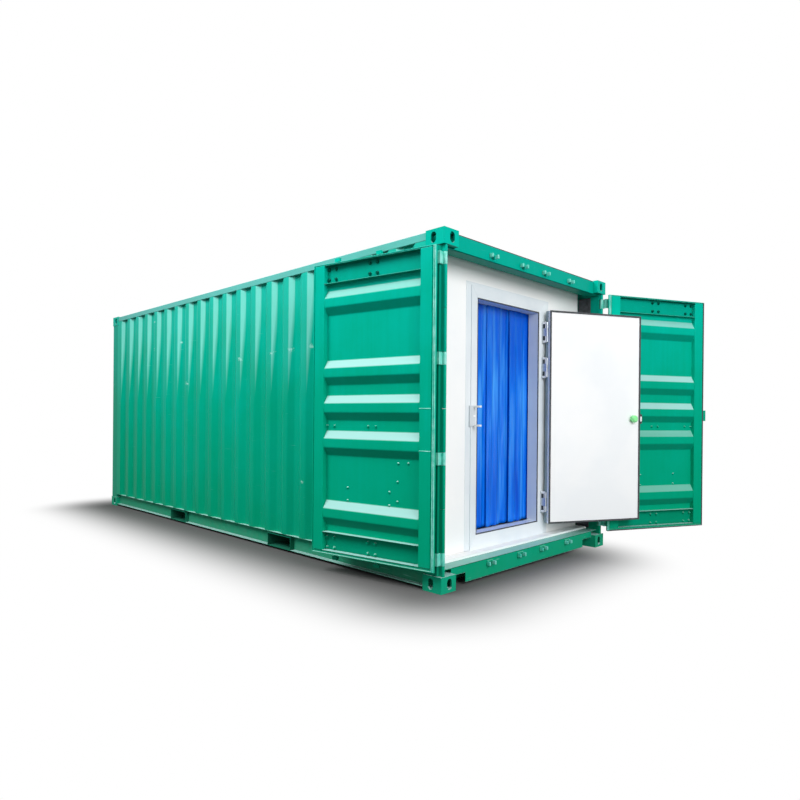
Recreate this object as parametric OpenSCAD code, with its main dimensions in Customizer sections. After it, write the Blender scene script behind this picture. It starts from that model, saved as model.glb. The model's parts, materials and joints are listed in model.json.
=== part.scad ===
// Shipping container cabin: a 20 ft steel container fitted out as an insulated cold room.
// X runs along the container with the door end at +X, Y across it, Z up from the casting feet.

/* [Container] */
// Overall length over the corner castings
length = 6058; // [4000:1:12192]
// Overall width over the corner castings
width = 2438; // [2200:1:2600]
// Overall height over the corner castings
height = 2591; // [2450:1:2896]
// Distance that the castings stand proud of posts, rails and walls
proud = 5; // [3:0.5:8]
// Thickness of the rolled sheet in walls, roof and door panels
sheet = 2; // [1.6:0.1:4]

/* [Castings] */
// Length of a corner casting along the container
casting_l = 178; // [170:1:190]
// Width of a corner casting across the container
casting_w = 162; // [155:1:170]
// Height of a corner casting
casting_h = 118; // [112:1:130]
// Thickness of the slotted plate of a casting
casting_plate = 28; // [24:1:32]
// Thickness of the side walls of a casting
casting_wall = 16; // [12:1:20]
// Length of the slot for a twist lock
slot_l = 124.5; // [120:0.5:128]
// Width of the slot for a twist lock
slot_w = 63.5; // [60:0.5:66]
// Slot centre to the casting's end face
slot_in_l = 102.5; // [100:0.5:105]
// Slot centre to the casting's side face
slot_in_w = 89.5; // [87:0.5:92]
// Length of the oval hand hole in a casting's side and end
oval_l = 79; // [70:1:85]
// Width of the oval hand hole
oval_w = 51; // [45:1:56]

/* [Steel frame] */
// Depth of header, sill and posts behind the casting faces
door_recess = 45; // [35:1:60]
// Depth of header, sill and door posts
door_frame_depth = 120; // [100:1:150]
// Width of a door post across the container
post_w = 42.5; // [35:0.5:60]
// Wall of the pressed posts, header and sill
frame_wall = 6; // [4:0.5:10]
// Height of the sill's tread plate
sill_top = 155; // [140:1:170]
// Underside of sills, rails and cross members
base_bottom = 22; // [15:1:40]
// Height of the door header
header_h = 123; // [115:1:150]
// Depth of the rear posts, rear sill and rear header
end_depth = 150; // [120:1:170]
// Top of the base side rails
rail_top = 160; // [150:1:170]
// Width of the base rail flanges
rail_flange = 48; // [35:1:60]
// Thickness of the base rail section
rail_wall = 5; // [4:0.5:8]
// Outside of the square top rail
top_rail = 60; // [50:1:80]
// Gap from casting tops down to header, rails and roof
top_gap = 8; // [6:0.5:14]

/* [Corrugation] */
// Pitch of the side wall corrugation
wall_pitch = 278.5; // [250:0.5:300]
// Depth of the side wall corrugation
wall_depth = 36; // [25:1:50]
// Pitch of the rear wall corrugation
end_pitch = 250; // [220:1:290]
// Depth of the rear wall corrugation
end_wall_depth = 45; // [30:1:60]
// Pitch of the roof corrugation
roof_pitch = 209; // [180:1:260]
// Depth of the roof corrugation
roof_depth = 20; // [12:1:30]

/* [Base] */
// Thickness of the plywood floor
floor_t = 28; // [21:1:40]
// Height of the floor's tread above the ground
floor_top = 170; // [165:1:190]
// Flange width of a cross member
cross_w = 45; // [40:1:60]
// Thickness of a cross member
cross_wall = 5; // [4:0.5:8]
// Spacing of the cross members
cross_pitch = 290; // [260:1:360]
// Clear width of a fork pocket
pocket_w = 360; // [350:1:370]
// Distance between the fork pocket centres
pocket_span = 2050; // [1800:1:2100]
// Plate thickness of a fork pocket
pocket_wall = 5; // [4:0.5:8]
// Length of the strap under each end of a fork pocket
pocket_strap = 250; // [150:1:400]

/* [Cargo doors] */
// Opening angle of the left cargo door
left_angle = 261; // [0:1:265]
// Opening angle of the right cargo door
right_angle = 153; // [0:1:263]
// Hinge pin outside the inner face of its door post
pin_in = 8.5; // [6:0.5:10]
// Hinge pin behind the casting faces
pin_depth = 20; // [17:0.5:24]
// Hinge pin radius
pin_r = 8; // [6:0.5:10]
// Hinge pin to the outer face of a door leaf
leaf_offset = 52; // [49:0.5:60]
// Thickness of a door leaf
leaf_t = 50; // [40:1:60]
// Hinge pin to the steel edge of a door leaf
leaf_start = 45; // [40:1:60]
// Width of a door stile
stile_w = 100; // [80:1:120]
// Wall of the stiles and channels
stile_wall = 4; // [3:0.5:6]
// Height of the channel at the top and foot of a leaf
channel_h = 150; // [120:1:170]
// Width of a ridge of the pressed panel at its foot
ridge_base = 200; // [160:1:240]
// Width of a ridge along its crest
ridge_crest = 68; // [40:1:90]
// Height of a ridge above the flat of the panel
ridge_h = 40; // [25:1:44]
// Width of the rubber gasket's lip beside a leaf
gasket_lip = 31; // [20:1:35]
// Depth of the rubber gasket
gasket_t = 18; // [12:1:24]
// Height of the ribs on the rubber gasket
gasket_rib_h = 6; // [4:0.5:8]
// Width of the ribs on the rubber gasket
gasket_rib_w = 7; // [4:0.5:9]
// Height of a hinge blade
blade_h = 90; // [60:1:120]
// Thickness of a hinge blade
blade_t = 7; // [5:0.5:8]
// Radius of the eye of a hinge blade
eye_r = 14; // [12:0.5:15]

/* [Lock gear] */
// Radius of a lock rod
rod_r = 13; // [10:0.5:15]
// Hinge pin to the axis of a lock rod, out of the leaf
rod_offset = 3; // [2:0.5:3]
// Outer lock rod to the free edge of the leaf
rod_in = 155.5; // [130:0.5:180]
// Distance between the two lock rods of a leaf
rod_pitch = 420; // [380:1:450]
// Half length of a cam at the end of a lock rod
cam_reach = 24; // [20:1:32]
// Height of a cam
cam_h = 28; // [22:1:45]
// Length of a lock handle
handle_l = 240; // [200:1:245]
// Height of a lock handle's flat bar
handle_h = 40; // [30:1:50]
// Thickness of a lock handle's flat bar
handle_t = 10; // [8:0.5:10]
// Height of a cam keeper
keeper_h = 56; // [45:1:60]
// Height of the hasp at the free edge of the right leaf
hasp_h = 90; // [60:1:120]

/* [Cold room] */
// Front face of the insulated bulkhead behind the casting faces
bulkhead_depth = 270; // [240:1:320]
// Thickness of the bulkhead panels
bulkhead_t = 100; // [80:1:120]
// Gap between the insulated box and the ribs of the side walls
lining_side_gap = 18; // [13:1:60]
// Gap between the insulated box and the top rails
lining_head_gap = 3; // [2:1:60]
// Thickness of the wall and ceiling panels
lining_t = 80; // [60:1:100]
// Thickness of the insulated floor panels
cold_floor_t = 100; // [60:1:110]
// Clear width of the doorway
doorway_w = 910; // [860:1:940]
// Right edge of the doorway to the side of the insulated box
doorway_side = 720; // [715:1:760]
// Foot of the doorway
doorway_bottom = 297; // [285:1:320]
// Head of the doorway below the top of the insulated box
doorway_drop = 297; // [260:1:420]
// Width of the doorway's frame members
frame_w = 100; // [80:1:130]
// Distance that the frame stands proud of the bulkhead on both faces
frame_proud = 8; // [4:1:12]

/* [Cold room door] */
// Opening angle of the cold room door
inner_angle = 152; // [0:1:152]
// Hinge axis of the cold room door beside the doorway's right edge
axis_in = 56; // [50:0.5:62]
// Hinge axis of the cold room door in front of the frame
axis_gap = 48; // [46:0.5:52]
// Width of the cold room door
inner_w = 1000; // [960:1:1010]
// Thickness of the cold room door
inner_t = 75; // [60:1:76]
// Hinge axis to the edge of the cold room door
inner_start = 10; // [9.5:0.5:14]
// Lap of the door over the doorway's foot and head
inner_lap = 22; // [15:1:30]
// Gap between the closed door's inside face and the frame
inner_gap = 12; // [10:0.5:14]
// Height of a door hinge
hinge_h = 180; // [120:1:200]

/* [Strip curtain] */
// Width of a curtain strip
strip_w = 200; // [150:1:300]
// Thickness of a curtain strip
strip_t = 3; // [2:0.5:4]
// Pitch of the curtain strips
strip_pitch = 165; // [120:1:190]
// Number of curtain strips
strip_count = 6; // [4:1:8]

/* [Hidden] */

$fn = 48;
// Overrun of every cut
cut = 1;
green = "#00A67F";
white = "#EEF2F3";
black = "#22262A";
zinc = "#B9C0C4";
timber = "#9A7B55";
blue = "#1E6BE0";
release_green = "#1FA04A";

// Clearance of moving pieces, of the hinge pin in its eye and of the eye between its lugs
clear = 5;
pin_play = 0.3;
lug_play = 1.5;

// Planes and heights that several pieces share
side_y = width / 2 - proud;
rear_x = proud - length / 2;
casting_in_y = width / 2 - casting_w;
casting_in_x = length / 2 - casting_l;
post_y = side_y - post_w;
pin_y = post_y + pin_in;
rail_in_y = side_y - rail_flange;
beam_top = height - top_gap;
header_bottom = beam_top - header_h;
top_rail_in_y = side_y - top_rail;
door_frame_back = door_recess + door_frame_depth;
wall_front_x = length / 2 - door_frame_back;
wall_rear_x = rear_x + end_depth;

pocket_half = pocket_w / 2 + pocket_wall;
pocket_top = floor_top - floor_t;

// Notch in the sill's front plate beside each casting
sill_notch_w = 167;
sill_notch_h = 72;
sill_notch_y = casting_in_y - sill_notch_w;
sill_notch_top = base_bottom + sill_notch_h;

// Door leaf, measured along the leaf from its hinge pin
gasket_end_lip = 12;
gasket_foot_lip = 25;
gasket_head_lip = 10;
leaf_end = pin_y - clear / 2 - gasket_end_lip;
gasket_start = leaf_start - gasket_lip;
leaf_bottom = sill_top + clear + gasket_foot_lip;
leaf_top = header_bottom - clear - gasket_head_lip;
leaf_in = leaf_offset + leaf_t;
panel_bottom = leaf_bottom + channel_h;
panel_top = leaf_top - channel_h;
panel_mid = (panel_bottom + panel_top) / 2;
panel_half = (panel_top - panel_bottom) / 2;
panel_skin = leaf_offset + stile_wall;
ridge_row_shares = [-0.848, -0.283, 0, 0.283, 0.848];
hinge_row_shares = [0.025, 0.34, 0.655, 0.97];
hinge_zs = [for (share = hinge_row_shares) leaf_bottom + share * (leaf_top - leaf_bottom)];

// Hinge blade: a neck that passes between post and leaf, then a strap on the stile
neck_u = pin_in + clear;
strap_l = 120;
eye_block = 10;
bar_gap = 2;

// Lock gear: rod length, brackets, keepers, handles and hasp
rod_far = leaf_end - rod_in;
rod_places = [rod_far - rod_pitch, rod_far];
rod_under_sill = 57;
rod_past_header = 55;
rod_bottom = sill_top - rod_under_sill;
rod_top = header_bottom + rod_past_header;
bracket_w = 60;
bracket_h = 50;
handle_drop_share = 0.141;
handle_z = panel_mid - handle_drop_share * panel_half;
bracket_flat_share = 0.565;
retainer_w = 30;
keeper_prong_w = 16;
keeper_tip = 6;
keeper_plate_front = pin_depth + rod_offset + rod_r + clear;
prong_shares = [[0, -0.5], [0.55, -0.5], [1, -0.1], [1, 0.2], [0.45, 0.5], [0, 0.5]];
hasp_t = 8;
hasp_reach = 43;

// Cold room planes, measured behind the casting faces
bulkhead_back = bulkhead_depth + bulkhead_t;
frame_front = bulkhead_depth - frame_proud;
frame_back = bulkhead_back + frame_proud;
lining_y = side_y - wall_depth - lining_side_gap;
lining_top = beam_top - top_rail - lining_head_gap;
lining_end_x = -casting_in_x;
lining_in_y = lining_y - lining_t;
doorway_right = lining_y - doorway_side;
doorway_left = doorway_right - doorway_w;
doorway_top = lining_top - doorway_drop;
frame_left = doorway_left - frame_w;
frame_right = doorway_right + frame_w;
frame_top = doorway_top + frame_w;
threshold_t = 3;

// Cold room door, measured from its hinge axis
axis_y = doorway_right + axis_in;
axis_depth = frame_front - axis_gap;
inner_face = axis_gap - inner_gap;
inner_back = inner_face - inner_t;
inner_end = inner_start + inner_w;
inner_bottom = doorway_bottom - inner_lap;
inner_top = doorway_top + inner_lap;
inner_seal_t = 7;
inner_seal_w = 16;
knuckle_r = 8;
hinge_pin_r = 5;
hinge_plate_t = 8;
hinge_plate_w = 46;
hinge_height_shares = [0.1, 0.733, 0.9];
inner_hinge_zs = [for (share = hinge_height_shares) inner_bottom + share * (inner_top - inner_bottom)];
hinge_leaf_share = 0.3;
latch_height_share = 0.4948;
latch_z = doorway_bottom + latch_height_share * (doorway_top - doorway_bottom);
latch_h = 80;
latch_reach = 26;
latch_t = 40;
knob_r = 22;
knob_stem_r = 9;
knob_l = 45;
knob_head = 18;
knob_inset = 85;

// Strike plate on the frame and the curtain's rail behind it
strike_w = 44;
strike_h = 190;
strike_t = 8;
strike_gap = 6;
prong_t = 12;
prong_l = 10;
prong_share = 0.32;
rail_leg = 75;
rail_t = 4;
rail_overhang = 40;
strip_gap = 8;
curtain_mid = (doorway_left + doorway_right) / 2;
curtain_top = doorway_top + rail_leg - strip_gap;

// X of a plane that lies behind the casting faces of the door end
function behind(depth) = length / 2 - depth;

// Range of a given half width about a middle
function span(middle, half) = [middle - half, middle + half];

// Block between two corners given as ranges along X, Y and Z
module block(x, y, z) {
    translate([min(x), min(y), min(z)])
        cube([max(x) - min(x), max(y) - min(y), max(z) - min(z)]);
}

module both_sides() {
    children();
    mirror([0, 1, 0]) children();
}

// A leaf built along +X from its hinge, inside face to +Y, hung on the left or the right
module hung(right, depth, y, angle) {
    mirror([0, right ? 1 : 0, 0])
        translate([behind(depth), -y, 0])
            rotate([0, 0, 90 - angle])
                children();
}

module slot_outline(l, w) {
    square([l - w, w], center = true);
    for (end = [-1, 1])
        translate([end * (l - w) / 2, 0])
            circle(d = w);
}

// One rib of a trapezoid corrugation, as shares of its pitch and depth
corrugation_shares = [[0.125, 0], [0.37, 1], [0.63, 1], [0.875, 0]];

// Points of a trapezoid corrugation that rises from 0 to depth, from start to end
function corrugation(start, end, pitch, depth) =
    let (count = floor((end - start) / pitch), margin = (end - start - count * pitch) / 2)
    [
        [start, 0],
        for (i = [0 : count - 1])
            let (a = start + margin + i * pitch)
            for (p = corrugation_shares) [a + p[0] * pitch, p[1] * depth],
        [end, 0]
    ];
function reversed(list) = [for (i = [len(list) - 1 : -1 : 0]) list[i]];

module sheet_outline(points) {
    polygon(concat(points, [for (p = reversed(points)) [p[0], p[1] + sheet]]));
}

module casting_envelope() {
    block([casting_in_x, length / 2], [casting_in_y, width / 2], [0, casting_h]);
}

// Corner casting with its slotted plate at the foot, open through slot and hand holes
module casting() {
    slot_x = length / 2 - slot_in_l;
    slot_y = width / 2 - slot_in_w;
    mid_z = casting_h / 2;
    difference() {
        casting_envelope();
        block([casting_in_x + casting_wall, length / 2 - casting_wall],
              [casting_in_y + casting_wall, width / 2 - casting_wall],
              [casting_plate, casting_h - casting_wall]);
        translate([slot_x, slot_y, -cut])
            linear_extrude(casting_plate + 2 * cut)
                slot_outline(slot_l, slot_w);
        translate([length / 2 - casting_wall - cut, slot_y, mid_z])
            rotate([90, 0, 90])
                linear_extrude(casting_wall + 2 * cut)
                    rotate(90)
                        slot_outline(oval_l, oval_w);
        translate([slot_x, width / 2 + cut, mid_z])
            rotate([90, 0, 0])
                linear_extrude(casting_wall + 2 * cut)
                    rotate(90)
                        slot_outline(oval_l, oval_w);
    }
}

module four_corners() {
    both_sides() {
        children();
        mirror([1, 0, 0]) children();
    }
}

module top_corners() {
    translate([0, 0, height])
        mirror([0, 0, 1])
            four_corners()
                children();
}

module bottom_castings() {
    color(green) four_corners() casting();
}

module top_castings() {
    color(green) top_corners() casting();
}

// Base rail: channel open to the outside, cut away under its top flange at each fork pocket
module base_rails() {
    color(green)
        both_sides()
            difference() {
                block(span(0, casting_in_x), [rail_in_y, side_y], [base_bottom, rail_top]);
                block(span(0, casting_in_x + cut), [rail_in_y + rail_wall, side_y + cut],
                      [base_bottom + rail_wall, rail_top - rail_wall]);
                for (end = [-1, 1])
                    block(span(end * pocket_span / 2, pocket_half),
                          [rail_in_y - cut, side_y + cut], [base_bottom - cut, pocket_top]);
            }
}
function crosses_pocket(x) =
    abs(abs(x) - pocket_span / 2) < pocket_half + cross_w;

module cross_member() {
    difference() {
        block([0, cross_w], span(0, rail_in_y), [base_bottom, pocket_top]);
        block([cross_wall, cross_w + cut], span(0, rail_in_y + cut),
              [base_bottom + cross_wall, pocket_top - cross_wall]);
    }
}

module cross_members() {
    reach = floor((casting_in_x - cross_w) / cross_pitch);
    color(green)
        for (i = [-reach : reach])
            if (!crosses_pocket(i * cross_pitch + cross_w / 2))
                translate([i * cross_pitch, 0, 0])
                    cross_member();
}

module fork_pockets() {
    color(green)
        for (end = [-1, 1])
            translate([end * pocket_span / 2, 0, 0])
                difference() {
                    block(span(0, pocket_half), span(0, side_y), [base_bottom, pocket_top]);
                    block(span(0, pocket_w / 2), span(0, side_y + cut),
                          [base_bottom + pocket_wall, pocket_top - pocket_wall]);
                    block(span(0, pocket_w / 2), span(0, side_y - pocket_strap),
                          [base_bottom - cut, base_bottom + 2 * pocket_wall]);
                }
}

// Door sill: front plate with a notch beside each casting, tread plate and rear plate
module door_sill() {
    front = behind(door_recess);
    back = behind(door_frame_back);
    color(green) {
        block([back, front], span(0, post_y), [sill_top - frame_wall, sill_top]);
        difference() {
            block([front - frame_wall, front], span(0, casting_in_y),
                  [base_bottom, sill_top - frame_wall]);
            both_sides()
                block([front - frame_wall - cut, front + cut], [sill_notch_y, casting_in_y + cut],
                      [base_bottom - cut, sill_notch_top]);
        }
        block([back, back + frame_wall], span(0, casting_in_y),
              [base_bottom, sill_top - frame_wall]);
    }
}

module end_sill() {
    color(green)
        difference() {
            block([rear_x, wall_rear_x], span(0, casting_in_y), [base_bottom, rail_top]);
            block([rear_x + frame_wall, wall_rear_x + cut],
                  span(0, casting_in_y + cut),
                  [base_bottom + frame_wall, rail_top - frame_wall]);
        }
}

// Door header: a closed box section, with a lower plate that reaches the posts
module door_header() {
    front = behind(door_recess);
    back = behind(door_frame_back);
    color(green) {
        difference() {
            block([back, front], span(0, casting_in_y), [header_bottom, beam_top]);
            block([back + frame_wall, front - frame_wall], span(0, casting_in_y + cut),
                  [header_bottom + frame_wall, beam_top - frame_wall]);
        }
        block([back, front], span(0, post_y), [header_bottom, header_bottom + frame_wall]);
    }
}

module end_header() {
    color(green)
        difference() {
            block([rear_x, rear_x + top_rail], span(0, casting_in_y),
                  [beam_top - casting_h, beam_top]);
            block([rear_x + frame_wall, rear_x + top_rail - frame_wall],
                  span(0, casting_in_y + cut),
                  [beam_top - casting_h + frame_wall, beam_top - frame_wall]);
        }
}

module top_rails() {
    color(green)
        both_sides()
            difference() {
                block(span(0, casting_in_x), [top_rail_in_y, side_y],
                      [beam_top - top_rail, beam_top]);
                block(span(0, casting_in_x + cut),
                      [top_rail_in_y + rail_wall, side_y - rail_wall],
                      [beam_top - top_rail + rail_wall, beam_top - rail_wall]);
            }
}

module hollow_post(x, y) {
    difference() {
        block(x, y, [casting_h, height - casting_h]);
        block(x + [frame_wall, -frame_wall], y + [frame_wall, -frame_wall],
              [casting_h - cut, height - casting_h + cut]);
    }
}

module door_posts() {
    color(green)
        both_sides()
            hollow_post([wall_front_x, behind(door_recess)], [post_y, side_y]);
}

module end_posts() {
    color(green)
        both_sides()
            hollow_post([rear_x, wall_rear_x], [casting_in_y, side_y]);
}

// Side wall: outer crests flush with the rails, ribs running inward, cut back at the castings
module side_walls() {
    color(green)
        difference() {
            both_sides()
                translate([0, side_y, rail_top])
                    mirror([0, 1, 0])
                        linear_extrude(beam_top - top_rail - rail_top)
                            sheet_outline(corrugation(wall_rear_x, wall_front_x, wall_pitch,
                                                      wall_depth - sheet));
            top_corners() casting_envelope();
        }
}

module end_wall() {
    color(green)
        translate([rear_x, 0, rail_top])
            rotate([0, 0, -90])
                mirror([1, 0, 0])
                    linear_extrude(beam_top - casting_h - rail_top)
                        sheet_outline(corrugation(-casting_in_y, casting_in_y, end_pitch,
                                                  end_wall_depth - sheet));
}

// Roof: ribs across the container, cut back at the castings
module roof() {
    color(green)
        difference() {
            translate([0, top_rail_in_y, beam_top - roof_depth])
                rotate([90, 0, 0])
                    linear_extrude(2 * top_rail_in_y)
                        sheet_outline(corrugation(rear_x + top_rail, wall_front_x, roof_pitch,
                                                  roof_depth - sheet));
            top_corners() casting_envelope();
        }
}

module floor() {
    color(timber)
        block([wall_rear_x, wall_front_x], span(0, rail_in_y), [pocket_top, floor_top]);
}

// Hinge lug: a round-fronted bar on the post, cut away for the blade, with the pin through it
module hinge_lug(z, bottom, top) {
    half = blade_h / 2 + lug_play;
    post_front = door_recess - pin_depth;
    for (ear = [[bottom, z - half], [z + half, top]])
        translate([0, 0, ear[0]])
            linear_extrude(ear[1] - ear[0]) {
                circle(eye_r);
                translate([-eye_r, 0])
                    square([eye_r + pin_in, post_front]);
            }
    translate([0, 0, z])
        cylinder(h = 2 * (half + cut), r = pin_r, center = true);
}

// Bars of the four hinges of a post, which meet half way between them
module hinge_lugs() {
    joints = [for (i = [1 : len(hinge_zs) - 1]) (hinge_zs[i - 1] + hinge_zs[i]) / 2];
    ends = concat([casting_h], joints, [height - casting_h]);
    color(green)
        for (right = [false, true])
            for (i = [0 : len(hinge_zs) - 1])
                hung(right, pin_depth, pin_y, 0)
                    hinge_lug(hinge_zs[i], ends[i] + bar_gap / 2, ends[i + 1] - bar_gap / 2);
}

// Cam keeper: a plate on header or sill with a sloped prong at each side of the rod
module cam_keeper() {
    prong_in = cam_reach + clear;
    reach = door_recess - keeper_tip;
    block([behind(keeper_plate_front), behind(door_recess)],
          span(0, prong_in + keeper_prong_w), span(0, keeper_h / 2));
    both_sides()
        translate([behind(door_recess), prong_in + keeper_prong_w, 0])
            rotate([90, 0, 0])
                linear_extrude(keeper_prong_w)
                    polygon([for (p = prong_shares) [p[0] * reach, p[1] * keeper_h]]);
}

module cam_keepers() {
    color(green)
        both_sides()
            for (u = rod_places)
                for (z = [rod_bottom + cam_h / 2, rod_top - cam_h / 2])
                    translate([0, pin_y - u, z])
                        cam_keeper();
}

// Threshold: a folded sheet on the floor in front of the bulkhead, with a lip down to the sill
module threshold() {
    lip_front = wall_front_x + threshold_t;
    color(white) {
        block([behind(frame_front), lip_front], span(0, lining_y),
              [floor_top, floor_top + threshold_t]);
        block([wall_front_x, lip_front], span(0, lining_y), [sill_top, floor_top + threshold_t]);
    }
}

module cold_floor() {
    color(white)
        block([lining_end_x + lining_t, behind(frame_back)], span(0, lining_in_y),
              [floor_top, floor_top + cold_floor_t]);
}

module side_linings() {
    color(white)
        both_sides()
            block([lining_end_x + lining_t, behind(bulkhead_back)], [lining_in_y, lining_y],
                  [floor_top, lining_top]);
}

module end_lining() {
    color(white)
        block([lining_end_x, lining_end_x + lining_t], span(0, lining_y), [floor_top, lining_top]);
}

module ceiling() {
    color(white)
        block([lining_end_x + lining_t, behind(bulkhead_back)], span(0, lining_in_y),
              [lining_top - lining_t, lining_top]);
}

module bulkhead_sides() {
    x = [behind(bulkhead_back), behind(bulkhead_depth)];
    color(white) {
        block(x, [-lining_y, frame_left], [floor_top, lining_top]);
        block(x, [frame_right, lining_y], [floor_top, lining_top]);
    }
}

module bulkhead_head() {
    color(white)
        block([behind(bulkhead_back), behind(bulkhead_depth)], [frame_left, frame_right],
              [frame_top, lining_top]);
}

module door_frame() {
    color(white)
        difference() {
            block([behind(frame_back), behind(frame_front)], [frame_left, frame_right],
                  [floor_top, frame_top]);
            block([behind(frame_back) - cut, behind(frame_front) + cut],
                  [doorway_left, doorway_right], [doorway_bottom, doorway_top]);
        }
}

// Strike plate: a zinc plate with three prongs that the latch drops behind
module strike_plate() {
    right = axis_y - inner_end - strike_gap;
    color(zinc) {
        block([behind(frame_front), behind(frame_front - strike_t)], [right - strike_w, right],
              span(latch_z, strike_h / 2));
        for (row = [-1, 0, 1])
            translate([0, 0, latch_z + row * prong_share * strike_h])
                block([behind(frame_front - strike_t), behind(frame_front - strike_t - prong_l)],
                      [right - strike_w, right - strike_w / 2], span(0, prong_t / 2));
    }
}

// Frame half of a door hinge: plate on the frame, arm and middle knuckle with its pin
module frame_hinge() {
    knuckle_h = hinge_h * (1 - 2 * hinge_leaf_share);
    arm_y = [-knuckle_r, hinge_plate_w];
    translate([behind(axis_depth), axis_y, 0]) {
        cylinder(h = knuckle_h, r = knuckle_r, center = true);
        block([-axis_gap, 0], span(0, knuckle_r), span(0, knuckle_h / 2));
        block([-axis_gap, hinge_plate_t - axis_gap], arm_y, span(0, hinge_h / 2));
        cylinder(h = hinge_h, r = hinge_pin_r, center = true);
    }
}

module frame_hinges() {
    color(zinc)
        for (z = inner_hinge_zs)
            translate([0, 0, z])
                frame_hinge();
}
// Angle rail behind the frame's head, which carries the strips on both faces
module curtain_rail() {
    y = [doorway_left - rail_overhang, doorway_right + rail_overhang];
    rail_front = frame_back + strip_gap + strip_t;
    rail_top_z = doorway_top + rail_leg;
    color(zinc) {
        block([behind(frame_back), behind(rail_front + rail_t)], y, [rail_top_z, rail_top_z + rail_t]);
        block([behind(rail_front), behind(rail_front + rail_t)], y, [doorway_top, rail_top_z]);
    }
}

module strip_curtain() {
    front = frame_back + strip_gap;
    back = front + strip_t + rail_t;
    color(blue)
        for (i = [0 : strip_count - 1])
            let (y = curtain_mid + (i - (strip_count - 1) / 2) * strip_pitch,
                 depth = i % 2 == 0 ? front : back)
            block([behind(depth), behind(depth + strip_t)], span(y, strip_w / 2),
                  [doorway_bottom + strip_gap, curtain_top]);
}

// Stiles: square hollow sections at the hinge edge and the free edge
module stiles() {
    for (u = [leaf_start, leaf_end - stile_w])
        difference() {
            block([u, u + stile_w], [leaf_offset, leaf_in], [leaf_bottom, leaf_top]);
            block([u + stile_wall, u + stile_w - stile_wall],
                  [leaf_offset + stile_wall, leaf_in - stile_wall],
                  [leaf_bottom + stile_wall, leaf_top - stile_wall]);
        }
}

// Channels across head and foot, with the web outside and the flanges to the inside
module channels() {
    u = [leaf_start + stile_w, leaf_end - stile_w];
    for (z = [leaf_bottom, panel_top])
        difference() {
            block(u, [leaf_offset, leaf_in], [z, z + channel_h]);
            block(u + [-cut, cut], [leaf_offset + stile_wall, leaf_in + cut],
                  [z + stile_wall, z + channel_h - stile_wall]);
        }
}

// Pressed panel: level ridges that stand to the inside
module panel() {
    outline = [
        [panel_bottom, 0],
        for (row = ridge_row_shares)
            let (z = panel_mid + row * panel_half)
            for (p = [[-ridge_base / 2, 0], [-ridge_crest / 2, ridge_h],
                      [ridge_crest / 2, ridge_h], [ridge_base / 2, 0]])
                [z + p[0], p[1]],
        [panel_top, 0]
    ];
    translate([leaf_end - stile_w, panel_skin, 0])
        rotate([0, -90, 0])
            linear_extrude(leaf_end - leaf_start - 2 * stile_w)
                sheet_outline(outline);
}

// Gasket: a ring round the leaf with a raised outer lip, and a second rib at the hinge edge
module gasket() {
    u = [gasket_start, leaf_end + gasket_end_lip];
    z = [leaf_bottom - gasket_foot_lip, leaf_top + gasket_head_lip];
    inset = [gasket_rib_w, -gasket_rib_w];
    rib_u = gasket_start + 2 * gasket_rib_w;
    rib_base = leaf_in - gasket_rib_h;
    difference() {
        block(u, [leaf_in - gasket_t, leaf_in], z);
        block([leaf_start, leaf_end], [leaf_in - gasket_t - cut, leaf_in + cut], [leaf_bottom, leaf_top]);
        block(u + inset, [rib_base, leaf_in + cut], z + inset);
    }
    block([rib_u, rib_u + gasket_rib_w], [rib_base, leaf_in], z + inset);
}

// Hinge blade: eye on the pin, neck past the post, strap on the stile's outer face
module blade() {
    linear_extrude(blade_h, center = true)
        difference() {
            union() {
                circle(eye_r);
                translate([0, -eye_block])
                    square([neck_u + blade_t, 2 * eye_block]);
                translate([neck_u, 0])
                    square([blade_t, leaf_offset]);
                translate([neck_u, leaf_offset - blade_t])
                    square([strap_l, blade_t]);
            }
            circle(pin_r + pin_play);
        }
}

module blades() {
    for (z = hinge_zs)
        translate([0, 0, z])
            blade();
}

// Lock rod with a cam at each end, brackets on the leaf and a folded handle
module lock_rod() {
    flats = span(panel_mid, bracket_flat_share * panel_half);
    translate([0, rod_offset, rod_bottom])
        cylinder(h = rod_top - rod_bottom, r = rod_r);
    for (z = [rod_bottom, rod_top - cam_h])
        block([-cam_reach, cam_reach], span(rod_offset, rod_r), [z, z + cam_h]);
    for (z = [leaf_bottom + channel_h / 2, leaf_top - channel_h / 2])
        block(span(0, bracket_w / 2), [rod_offset, leaf_offset],
              span(z, bracket_h / 2));
    for (z = flats)
        block(span(0, bracket_w / 2), [rod_offset, panel_skin],
              span(z, bracket_h / 2));
    block([-handle_l, 0], span(rod_offset, handle_t / 2),
          span(handle_z, handle_h / 2));
    block([-handle_l, retainer_w - handle_l], [rod_offset, panel_skin],
          span(handle_z, handle_h / 2));
}

module lock_gear() {
    for (u = rod_places)
        translate([u, 0, 0])
            lock_rod();
}

// Hasp: a cranked plate on the free stile that laps the other leaf
module hasp() {
    z = span(panel_mid, hasp_h / 2);
    u = leaf_end - stile_w / 2;
    back = leaf_offset - clear;
    block([u, leaf_end + hasp_reach], [back - hasp_t, back], z);
    block([u, leaf_end], [back - hasp_t, leaf_offset], z);
}

module left_door() {
    hung(false, pin_depth, pin_y, left_angle) children();
}

module right_door() {
    hung(true, pin_depth, pin_y, right_angle) children();
}

module left_stiles() {
    color(green) left_door() stiles();
}

module left_channels() {
    color(green) left_door() channels();
}

module left_panel() {
    color(green) left_door() panel();
}

module left_gasket() {
    color(green) left_door() gasket();
}

module left_blades() {
    color(green) left_door() blades();
}

module left_lock_gear() {
    color(green) left_door() lock_gear();
}

module right_stiles() {
    color(green) right_door() stiles();
}

module right_channels() {
    color(green) right_door() channels();
}

module right_panel() {
    color(green) right_door() panel();
}

module right_gasket() {
    color(green) right_door() gasket();
}

module right_blades() {
    color(green) right_door() blades();
}

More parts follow.
